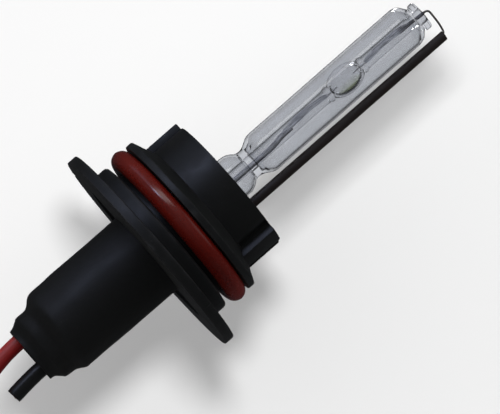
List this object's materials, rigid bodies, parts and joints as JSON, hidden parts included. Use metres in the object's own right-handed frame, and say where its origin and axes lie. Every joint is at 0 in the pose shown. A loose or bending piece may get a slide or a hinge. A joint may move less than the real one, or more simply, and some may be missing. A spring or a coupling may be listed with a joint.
{
  "type": "headlight bulb",
  "caption": "Gas discharge headlight bulb: quartz capsule and ceramic return sleeve on a lugged plastic base with a red O-ring, a rear boot and two leads.",
  "frame": {"origin": "on the bulb's axis, in the plane of the flange's front face, which seats on the lamp", "axes": "+Z along the bulb's axis towards the glass tip; +X from the axis towards the ceramic return sleeve; the leads hang down -Z"},
  "size_m": [0.049, 0.049, 0.2485],
  "materials": {
    "base_plastic": "moulded black glass-filled plastic, fine satin grain with a cool sheen",
    "insert_plastic": "moulded black heat-resistant plastic",
    "o_ring_rubber": "dark red silicone rubber, satin",
    "steel": "bright spring steel",
    "cement": "off-white ceramic cement, matt and granular",
    "quartz": "clear fused quartz with draw lines, doped against ultraviolet",
    "arc_quartz": "clear fused quartz",
    "salts": "yellowish crust of metal halide salts",
    "molybdenum": "dark grey molybdenum, satin",
    "tungsten": "dark tungsten",
    "return_metal": "heat-darkened nickel wire",
    "dark_ceramic": "very dark brown glazed ceramic",
    "crimp_brass": "crimped brass",
    "sleeve_plastic": "shrunk black tubing",
    "grommet_rubber": "black silicone rubber",
    "boot_rubber": "black shrunk polyolefin, satin, with faint wrinkles",
    "sealant": "black hot-melt adhesive",
    "red_silicone": "red silicone insulation, glossy",
    "black_silicone": "black silicone insulation, satin",
    "copper": "tinned and bare copper strands",
    "plug_plastic": "moulded black nylon",
    "seal_rubber": "orange-red silicone rubber",
    "contact_metal": "tin-plated brass"
  },
  "bodies": {
    "root": {"base_housing": "base_plastic", "o_ring": "o_ring_rubber", "front_insert": "insert_plastic", "capsule_clamp": "steel", "ceramic_cement": "cement", "outer_jacket": "quartz", "arc_tube": "arc_quartz", "halide_deposit": "salts", "rear_foil": "molybdenum", "front_foil": "molybdenum", "rear_electrode": "tungsten", "front_electrode": "tungsten", "rear_lead_wire": "molybdenum", "front_lead_wire": "molybdenum", "return_wire": "return_metal", "ceramic_sleeve": "dark_ceramic", "rear_splice": "crimp_brass", "return_splice": "crimp_brass", "rear_splice_sleeve": "sleeve_plastic", "return_splice_sleeve": "sleeve_plastic", "lead_grommet": "grommet_rubber", "heat_shrink_boot": "boot_rubber", "boot_sealant": "sealant", "red_lead": "red_silicone", "red_core": "copper", "black_lead": "black_silicone", "black_core": "copper", "plug_housing": "plug_plastic", "plug_seal": "seal_rubber", "plug_terminal": "contact_metal"}
  },
  "joints": []
}
